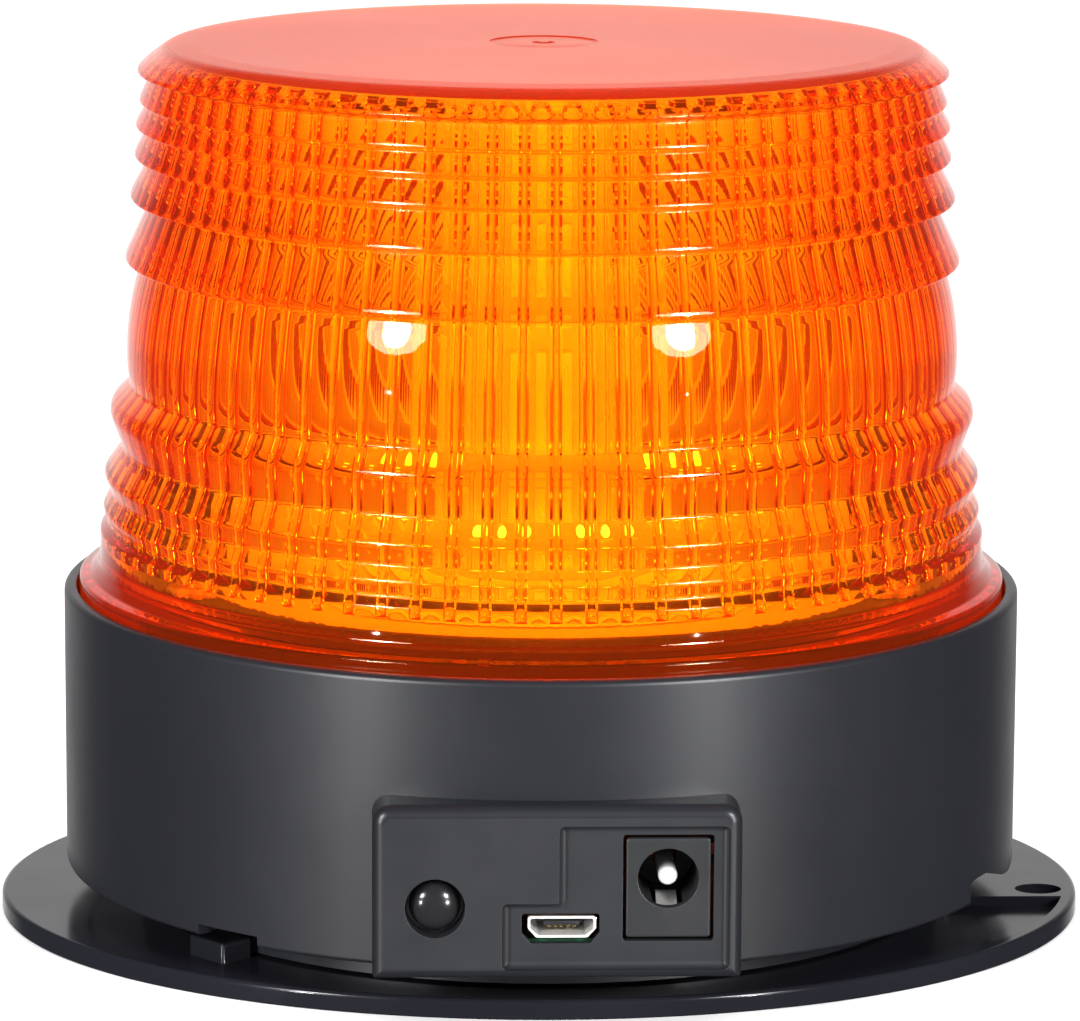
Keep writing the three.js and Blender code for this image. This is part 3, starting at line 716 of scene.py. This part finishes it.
def build_housing():
    inner_ledge, ledge_low, ledge_high = LEDGE
    drum = revolve("drum", closed_fillet([
        (DRUM_BORE, DRUM_BOTTOM, 0.2), (DRUM_RADIUS, DRUM_BOTTOM, 0.45), (DRUM_RADIUS, DRUM_TOP, 1.15),
        (RIM_BORE, DRUM_TOP, 0.25), (RIM_BORE, ledge_high, 0.1), (inner_ledge, ledge_high, 0.2),
        (inner_ledge, ledge_low, 0.2), (DRUM_BORE, ledge_low - 1.5, 0.5),
    ], 5), 256)
    carve(drum, sector_cutter(48, 55, 4, 7.3, 270 - 45, 270 - 36), notch_cutter())
    soften(drum, 0.18, 2, 50)
    carve(drum, panel_block(), operation="UNION")
    carve(drum, box("pocket", -17.2, 17.2, PANEL_BACK, -44, COVER_TOP, 22.8),
          prism("seat", circle(0, 0, 50.85, 128), 4, COVER_TOP + 0.3))
    tidy_normals(drum, 35)
    inner = []
    for x, y in POSTS:
        outline = circle(x, y, 3.6, 40)
        inner.append(carve(
            pillow("post", outline, 8.3, 35.4, 0.3, 0.3, 3),
            prism("bore", circle(x, y, 1.8, 24), 7, 18),
            prism("bore", circle(x, y, 1.6, 24), 28, 37)))
        rib = pillow("rib", [(43.9, -1), (51.2, -1), (51.2, 1), (43.9, 1)], 8.3, 25.5, 0.15, 0.15, 2)
        inner.append(moved(rib, turn=math.degrees(math.atan2(y, x))))
    for azimuth in LUG_AZIMUTHS:
        inner.append(sector_cutter(47.6, 49.6, 31.0, 34.0, azimuth - 12, azimuth + 12))
        for start in (azimuth - 10.5, azimuth + 30.5):
            inner.append(sector_cutter(47.6, 51.2, 28.0, 31.05, start, start + 2))
    return merge("drum_housing", drum, *inner)


housing = place(build_housing(), SATIN, "base", ["housing"], "black_satin")
housing.data.materials.append(PANEL_BLACK)
for face in housing.data.polygons:
    if face.center.y < -53.2 * MM and abs(face.center.x) < 18.4 * MM and 7 * MM < face.center.z < 22.6 * MM:
        face.material_index = 1


# ---------------------------------------------------------------- plate and foot
def build_plate():
    plate = pillow("oval_plate", ellipse(*PLATE_HALF), 0, PLATE_TOP, 0.25, 0.55, 4)
    lug = pillow("lug", rounded_rectangle(45.4, 49.5, -2.75, 2.75, 0.35, 3), 1.5, 4.4, 0, 0.35, 3)
    moved(lug, turn=270 - 48)
    pocket = pillow("pocket", ellipse(PLATE_HALF[0] - 1.5, PLATE_HALF[1] - 1.5, 200), 1.1, 6)
    beside_eyelet = closed_fillet([(44, -27, 0.3), (62, -27, 0.3), (62, -7.9, 1.2), (44, -7.9, 0.3)], 4)
    keep = prism("keep", beside_eyelet, 0, 9)
    carve(pocket, keep, operation="INTERSECT")
    carve(pocket, prism("neck", circle(0, 0, 46.5, 120), -1, 9))
    eye = [(EYELET[0] + 2.6 * math.cos(a), EYELET[1] + 2.2 * math.sin(a))
           for a in (2 * math.pi * k / 40 for k in range(40))]
    tools = [pocket, prism("eye", eye, -1, 4), prism("centre", circle(0, 0, 36.2, 160), -1, 4)]
    for x, y in POSTS:
        sink = revolve("sink", [(0, -1), (3.2, -1), (3.2, 0.2), (1.8, 1.8), (1.8, 4), (0, 4)], 40)
        tools.append(moved(sink, x, y))
    carve(plate, *tools)
    carve(plate, lug, operation="UNION")
    return soften(plate, 0.14, 2, 50)


place(build_plate(), GLOSS, "base", ["mounting_plate"], "black_gloss")


def build_pad():
    """Rubber pad with two shallow grip grooves."""
    groove_near = [(14, 0), (14.4, 0.35), (15.6, 0.35), (16, 0)]
    groove_far = [(27, 0), (27.4, 0.35), (28.6, 0.35), (29, 0)]
    rim = [(34.8, 0), (35.3, 0.35), (35.3, 0.7), (35.1, 0.9), (0, 0.9)]
    profile = [(0, 0), *groove_near, *groove_far, *rim]
    return revolve("rubber_pad", profile, 160, 25)


place(build_pad(), RUBBER, "base", ["grip_pad"], "rubber")


def cross_slot(x, y, z, size, depth, up):
    """A cross recess cutter at a screw head's face."""
    low, high = (z - depth, z + 1) if up else (z - 1, z + depth)
    half, width = size, size * 0.3
    bar_a = box("bar", x - half, x + half, y - width / 2, y + width / 2, low, high)
    bar_b = box("bar", x - width / 2, x + width / 2, y - half, y + half, low, high)
    return bar_a, bar_b


def build_screw(name, profile, x, y, face, size, depth, up):
    screw = moved(revolve(name, profile, 40), x, y)
    carve(screw, *cross_slot(x, y, face, size, depth, up))
    tidy_normals(screw, 35)
    return screw


for number, (px, py) in enumerate(POSTS, 1):
    thread = [(1.4 if k % 2 else 1.15, 3 + k * 0.4) for k in range(32)]
    sunk = [(0, 0.4), (2.45, 0.4), (2.6, 0.5), (2.6, 0.65), (1.4, 1.95)] + thread + [(0.6, 16.9), (0, 17)]
    place(build_screw(f"foot_screw_{number}", sunk, px, py, 0.4, 1.5, 0.9, False),
          SCREW_STEEL, "base", [f"base_screw_{number}"], "steel")
    shank = [(1.2 if k % 2 else 0.98, 29.3 + k * 0.35) for k in range(22)]
    pan = [(0, 29)] + shank + [(1.2, 37.6), (2.7, 37.6), (2.7, 38.4), (2.2, 39.1), (1.2, 39.4), (0, 39.4)]
    place(build_screw(f"deck_fixing_{number}", pan, px, py, 39.4, 1.3, 0.8, True),
          SCREW_STEEL, "base", [f"deck_screw_{number}"], "steel")


# ---------------------------------------------------------------- sockets and button
def build_jack_body():
    x, z = JACK
    left, right, low, high = x - 4.4, x + 4.4, 10.1, 20.7
    outline = rounded_rectangle(left, right, low, high, 0.35, 3)
    slot = rounded_rectangle(x - 1.5, x + 1.5, 12.2, 14.5, 0.2, 2)
    body = pillow("jack_body", outline, JACK_FACE, -41.0, 0.25, 0.25, 3, "y")
    carve(body, prism("bore", circle(x, z, 3.15, 72), -56, JACK_FACE + 10, "y"),
          prism("slot", slot, JACK_FACE + 1.4, JACK_FACE + 9, "y"),
          prism("pin", circle(x, z, 1.3, 32), -46, -40, "y"))
    return soften(body, 0.14, 2, 50)


def build_jack_pin():
    tip = closed_fillet([(0, -0.4), (1.0, -0.4, 0.1), (1.0, 11.5, 0.5), (0, 11.8)], 5)
    pin = revolve("jack_pin", [p for p in tip if p[0] >= 0], 40)
    pin.data.transform(Matrix.Rotation(math.pi / 2, 4, "X"))
    return moved(pin, JACK[0], -41.6, JACK[1])


def build_jack_leaf():
    """Sprung contact leaf with a raised knee."""
    path = [(1.9, 12.75), (3.2, 13.0), (4.6, 13.55), (5.6, 13.75), (6.6, 13.5), (8.3, 12.9)]
    top = [(JACK_FACE + y, z) for y, z in path]
    outline = top + [(y, z - 0.3) for y, z in reversed(top)]
    leaf = prism("jack_leaf", outline, JACK[0] - 1.1, JACK[0] + 1.1, "x")
    return soften(leaf, 0.06, 2, 40)


def usb_outline(inset):
    middle, low, high = USB
    half, foot = 3.55 - inset, 2.65 - inset * 0.7
    corner = max(0.12, 0.35 - inset * 0.5)
    points = [(-foot, low + inset, corner), (foot, low + inset, corner), (half, low + 1.0, corner),
              (half, high - inset, corner), (-half, high - inset, corner), (-half, low + 1.0, corner)]
    return closed_fillet([(px + middle, pz, r) for px, pz, r in points], 4)


def build_usb_shell():
    shell = prism("usb_socket", usb_outline(0), -54.1, -48.6, "y")
    carve(shell, prism("mouth", usb_outline(0.28), -56, -47, "y"))
    for side in (-1, 1):
        slit = box("slit", USB[0] + side * 2.0 - 0.35, USB[0] + side * 2.0 + 0.35, -53.0, -51.4, 12.0, 13.0)
        carve(shell, slit)
    return soften(shell, 0.05, 2, 50)


def build_usb_tongue():
    back = prism("tongue", usb_outline(0.6), -50, -48.8, "y")
    blade = pillow("blade", rounded_rectangle(USB[0] - 1.85, USB[0] + 1.85, 11.25, 11.75, 0.08, 2),
                   -53.4, -49.9, 0.12, 0, 3, "y")
    return merge("usb_blade", back, blade)


def build_usb_pins():
    pins = []
    for k in range(-2, 3):
        middle = USB[0] + k * 0.65
        outline = rounded_rectangle(middle - 0.17, middle + 0.17, 11.0, 11.26, 0.05, 2)
        pins.append(pillow("pin", outline, -53.1, -50.2, 0.05, 0.05, 2, "y"))
    return merge("usb_contacts", *pins)


place(build_jack_body(), SOCKET_BLACK, "base", ["dc_jack_body"], "black_satin")
place(build_jack_pin(), NICKEL, "base", ["dc_jack_pin"], "steel")
place(build_jack_leaf(), NICKEL, "base", ["dc_jack_contact"], "steel")
place(build_usb_shell(), NICKEL, "base", ["usb_shell"], "steel")
place(build_usb_tongue(), SOCKET_BLACK, "base", ["usb_tongue"], "black_satin")
place(build_usb_pins(), GOLD, "base", slot="steel")


def build_cap():
    """Domed push button with a retaining flange behind the panel."""
    dome = [(2.6 * math.sin(a), 1.5 * (1 - math.cos(a))) for a in (math.pi / 2 * k / 14 for k in range(15))]
    flange = fillet([
        (2.6, 1.5), (2.6, 1.9, 0.1), (3.45, 1.9, 0.12), (3.45, 2.5, 0.12), (2.6, 2.5, 0.1), (2.6, 3.6, 0.2),
        (0, 3.6),
    ], 3)
    profile = dome + flange[1:]
    return along_y(revolve("push_cap", profile, 72, 40), BUTTON[0], PANEL_FACE + 0.3, BUTTON[1])


place(build_cap(), CAP_BLACK, "push_button", ["button_cap"], "black_gloss")


# ---------------------------------------------------------------- light source
COLUMN_LOW = 39.2
COLUMN_HIGH = 88.0
STRIP_NEAR = 10.6
STRIP_THICK = 1.2


def led_package(x, z, width, height):
    """A surface-mount LED: white cup and its phosphor pool, facing -Y from y = 0."""
    outline = rounded_rectangle(x - width / 2, x + width / 2, z - height / 2, z + height / 2, 0.25, 3)
    cup = pillow("cup", outline, -0.75, 0, 0.08, 0, 2, "y")
    carve(cup, prism("well", circle(x, z, width * 0.36, 24), -1.5, -0.45, "y"))
    pool = pillow("pool", circle(x, z, width * 0.35, 24), -0.62, -0.4, 0.05, 0, 2, "y")
    return cup, pool


def flat_led(x, y, base, top, pool_top):
    """The same LED lying on a board and facing up."""
    outline = rounded_rectangle(x - 2.5, x + 2.5, y - 2.5, y + 2.5, 0.25, 3)
    cup = pillow("cup", outline, base, top, 0, 0.08, 2)
    carve(cup, prism("well", circle(x, y, 1.8, 24), top - 0.3, top + 1.4))
    pool = pillow("pool", circle(x, y, 1.75, 24), top - 0.35, pool_top, 0, 0.05, 2)
    return cup, pool


def strip_parts(number, turn):
    """One LED board with its row of packages."""
    face = -(STRIP_NEAR + STRIP_THICK)
    outline = rounded_rectangle(-5.2, 5.2, COLUMN_LOW, COLUMN_HIGH - 0.6, 0.4, 3)
    strip = pillow("strip", outline, face, -STRIP_NEAR, 0.08, 0.08, 2, "y")
    cups, pools = [], []
    for row in range(6):
        cup, pool = led_package(0, COLUMN_LOW + 5 + row * 7.6, 5.0, 5.0)
        cups.append(moved(cup, y=face))
        pools.append(moved(pool, y=face))
    groups = {
        f"strip_board_{number}": ([strip], SHADED_STRIP_MASK, [f"led_strip_{number}"], "white_board"),
        f"strip_cups_{number}": (cups, WHITE_PLASTIC, [], "white_plastic"),
        f"strip_phosphor_{number}": (pools, PHOSPHOR, [], "white_board"),
    }
    for name, (parts, material, replaced, slot) in groups.items():
        place(moved(merge(name, *parts), turn=turn), material, "base", replaced, slot)


for side in range(6):
    strip_parts(side + 1, side * 60)


def build_core():
    outline = closed_fillet([(11.89 * math.cos(math.radians(a)), 11.89 * math.sin(math.radians(a)), 0.8)
                             for a in range(0, 360, 60)], 4)
    core = pillow("hex_core", outline, COLUMN_LOW, COLUMN_HIGH, 0.3, 0.3, 3)
    carve(core, prism("bore", circle(0, 0, 8.2, 48), 30, 95))
    return core


place(build_core(), WHITE_PLASTIC, "base", ["led_column"], "white_plastic")


def build_cap_board():
    outline = closed_fillet([(13.16 * math.cos(math.radians(a)), 13.16 * math.sin(math.radians(a)), 0.8)
                             for a in range(0, 360, 60)], 4)
    return pillow("top_board", outline, 88.3, 89.9, 0.1, 0.1, 2)


place(build_cap_board(), BOARD_WHITE, "base", ["column_cap"], "white_board")
top_cups, top_pools = [], []
for k in range(3):
    tilt = math.radians(90 + 120 * k)
    cup, pool = flat_led(5.8 * math.cos(tilt), 5.8 * math.sin(tilt), 89.9, 90.6, 90.45)
    top_cups.append(cup)
    top_pools.append(pool)
place(merge("top_cups", *top_cups), WHITE_PLASTIC, "base", slot="white_plastic")
place(merge("top_phosphor", *top_pools), PHOSPHOR, "base", slot="white_board")


def build_deck_plate():
    plate = pillow("deck", circle(0, 0, 45.1, 160), 35.7, 37.3, 0.2, 0.3, 3)
    carve(plate, *[prism("hole", circle(x, y, 1.6, 24), 30, 40) for x, y in POSTS])
    return carve(plate, prism("lead_hole", circle(-4.05, -20.5, 2.6, 32), 30, 40))


place(build_deck_plate(), printed_deck(37.0), "base", ["deck_plate"], "black_satin")
place(pillow("round_led_board", circle(0, 0, 29.5, 128), 37.6, 38.9, 0.1, 0.1, 2),
      BOARD_WHITE, "base", ["led_board"], "white_board")
board_cups, board_pools = [], []
for k in range(12):
    cup, pool = flat_led(22, 0, 38.9, 39.65, 39.52)
    board_cups.append(moved(cup, turn=30 * (k + 0.5)))
    board_pools.append(moved(pool, turn=30 * (k + 0.5)))
place(merge("board_cups", *board_cups), WHITE_PLASTIC, "base", slot="white_plastic")
# The deck LEDs' pools carry a painted yellow glow.
place(merge("board_phosphor", *board_pools), GLOW_PAINTED_PHOSPHOR, "base", slot="white_board")


# ---------------------------------------------------------------- carried-over CAD nodes
def smooth_shading(obj):
    """Smooths a CAD node by a modifier alone."""
    mod = obj.modifiers.new("shade", "NODES")
    mod.node_group = SHADE_GROUP


def make_shade_group():
    group = bpy.data.node_groups.new("shade_by_angle", "GeometryNodeTree")
    group.interface.new_socket("Geometry", in_out="INPUT", socket_type="NodeSocketGeometry")
    group.interface.new_socket("Geometry", in_out="OUTPUT", socket_type="NodeSocketGeometry")
    enter = group.nodes.new("NodeGroupInput")
    leave = group.nodes.new("NodeGroupOutput")
    weld = group.nodes.new("GeometryNodeMergeByDistance")
    weld.inputs["Distance"].default_value = 1e-6
    faces = group.nodes.new("GeometryNodeSetShadeSmooth")
    faces.domain = "FACE"
    edges = group.nodes.new("GeometryNodeSetShadeSmooth")
    edges.domain = "EDGE"
    edges.inputs["Shade Smooth"].default_value = False
    angle = group.nodes.new("GeometryNodeInputMeshEdgeAngle")
    compare = group.nodes.new("FunctionNodeCompare")
    compare.data_type = "FLOAT"
    compare.operation = "GREATER_THAN"
    compare.inputs[1].default_value = math.radians(32)
    link = group.links.new
    link(enter.outputs[0], weld.inputs["Geometry"])
    link(weld.outputs["Geometry"], faces.inputs["Geometry"])
    link(faces.outputs["Geometry"], edges.inputs["Geometry"])
    link(angle.outputs["Unsigned Angle"], compare.inputs[0])
    link(compare.outputs["Result"], edges.inputs["Selection"])
    link(edges.outputs["Geometry"], leave.inputs[0])
    return group


SHADE_GROUP = make_shade_group()
CARRIED = {
    "lens_gasket": RUBBER, "base_cover": SATIN, "ring_magnet": FERRITE, "magnet_yoke": ZINC,
    "battery_tray": WHITE_PLASTIC, "battery_cell_1": CELL_WRAP, "battery_cell_2": CELL_WRAP,
    "battery_tab_left": NICKEL, "battery_tab_right": NICKEL, "port_board": BOARD_GREEN,
    "board_screw_1": SCREW_STEEL, "board_screw_2": SCREW_STEEL, "switch_body": SOCKET_BLACK,
    "switch_plunger": WHITE_PLASTIC, "controller_chip": SOCKET_BLACK, "inductor": FERRITE,
    "capacitor": CELL_WRAP, "battery_plug": WHITE_PLASTIC, "battery_lead_red": WIRE_RED,
    "battery_lead_black": WIRE_BLACK, "led_lead_red": WIRE_RED, "led_lead_black": WIRE_BLACK,
}
for node, material in CARRIED.items():
    NODES[node].data.materials.clear()
    NODES[node].data.materials.append(material)
    smooth_shading(NODES[node])


# ---------------------------------------------------------------- floor, light and camera
DOME_STRENGTH = 0.7
BACKDROP_EDGES = (0.75, 0.97)
BACKDROP_STRENGTHS = (0.05, 0.95)


def studio():
    corners = [(-6000, -4000, 0), (6000, -4000, 0), (6000, 8000, 0), (-6000, 8000, 0)]
    floor = mesh_object("studio_floor", corners, [(0, 1, 2, 3)])
    m = Nodes("studio_floor_paper")
    m.vary_color(m.noise(3, 2, 0.5), (0.93, 0.93, 0.93), (0.95, 0.95, 0.95))
    m.vary_roughness(m.noise(8, 2, 0.5), 0.85, 0.95)
    m.shader.inputs["Specular IOR Level"].default_value = 0.1
    floor.data.materials.append(m.material)
    floor.visible_glossy = False

    world = bpy.data.worlds.new("studio")
    bpy.context.scene.world = world
    world.use_nodes = True
    tree = world.node_tree
    background = tree.nodes["Background"]
    background.inputs["Color"].default_value = (1, 1, 1, 1)
    # Reflections seen from outside show a dim studio with a bright backdrop behind the beacon.
    # All else sees an even dome.
    coords = tree.nodes.new("ShaderNodeTexCoord")
    split = tree.nodes.new("ShaderNodeSeparateXYZ")
    studio_map = tree.nodes.new("ShaderNodeMapRange")
    studio_map.inputs["From Min"].default_value = BACKDROP_EDGES[0]
    studio_map.inputs["From Max"].default_value = BACKDROP_EDGES[1]
    studio_map.inputs["To Min"].default_value = BACKDROP_STRENGTHS[0]
    studio_map.inputs["To Max"].default_value = BACKDROP_STRENGTHS[1]
    path = tree.nodes.new("ShaderNodeLightPath")
    choose = tree.nodes.new("ShaderNodeMix")
    choose.inputs["A"].default_value = DOME_STRENGTH
    tree.links.new(coords.outputs["Generated"], split.inputs[0])
    tree.links.new(split.outputs["Y"], studio_map.inputs["Value"])
    outside = tree.nodes.new("ShaderNodeMath")
    outside.operation = "LESS_THAN"
    outside.inputs[1].default_value = 0.5
    mirrored = tree.nodes.new("ShaderNodeMath")
    mirrored.operation = "MULTIPLY"
    tree.links.new(path.outputs["Transmission Depth"], outside.inputs[0])
    tree.links.new(path.outputs["Is Glossy Ray"], mirrored.inputs[0])
    tree.links.new(outside.outputs[0], mirrored.inputs[1])
    tree.links.new(mirrored.outputs[0], choose.inputs["Factor"])
    tree.links.new(studio_map.outputs["Result"], choose.inputs["B"])
    tree.links.new(choose.outputs["Result"], background.inputs["Strength"])


LAMP_TARGET = Vector((0, 0, 0.05))


def lamp(name, azimuth, elevation, distance, width, height, watts, shape="ELLIPSE"):
    """A soft box: azimuth 0 stands in front of the panel, positive towards +X."""
    data = bpy.data.lights.new(name, "AREA")
    data.shape = shape
    data.size = width
    data.size_y = height
    data.energy = watts
    light = bpy.data.objects.new(name, data)
    bpy.context.scene.collection.objects.link(light)
    a, e = math.radians(azimuth), math.radians(elevation)
    offset = Vector((math.sin(a) * math.cos(e), -math.cos(a) * math.cos(e), math.sin(e))) * distance
    light.location = LAMP_TARGET + offset
    light.rotation_mode = "QUATERNION"
    light.rotation_quaternion = (-offset).to_track_quat("-Z", "Y")
    return light


def camera():
    data = bpy.data.cameras.new("camera")
    data.lens = 198.03
    data.sensor_width = 36
    data.shift_x = -0.0012
    data.shift_y = 0.0074
    cam = bpy.data.objects.new("camera", data)
    bpy.context.scene.collection.objects.link(cam)
    turn, pitch, roll = math.radians(1.93), math.radians(11.08), math.radians(0.279)
    distance = 0.64899
    height = 0.1708
    cam.location = (-math.sin(turn) * distance, -math.cos(turn) * distance, height)
    look = Matrix.Rotation(-turn, 4, "Z") @ Matrix.Rotation(math.pi / 2 - pitch, 4, "X")
    cam.rotation_mode = "QUATERNION"
    cam.rotation_quaternion = (look @ Matrix.Rotation(roll, 4, "Z")).to_quaternion()
    bpy.context.scene.camera = cam


studio()
for side, azimuth in (("left", -43), ("right", 37)):
    lamp(f"{side}_hot_spot", azimuth, 19.5, 1.0, 0.13, 0.16, 6)
    lamp(f"{side}_soft_box", azimuth, 19.5, 1.01, 0.28, 0.24, 2.8)
    lamp(f"{side}_low_lamp", azimuth, -1, 1.5, 0.02, 0.02, 11)
overhead = lamp("overhead_box", 180, 78, 2.0, 3.0, 3.0, 36, "RECTANGLE")
overhead.visible_glossy = False
camera()

scene = bpy.context.scene
scene.view_settings.view_transform = "Standard"
scene.cycles.max_bounces = 20
scene.cycles.transmission_bounces = 16
scene.cycles.transparent_max_bounces = 16
scene.cycles.sample_clamp_indirect = 6.0
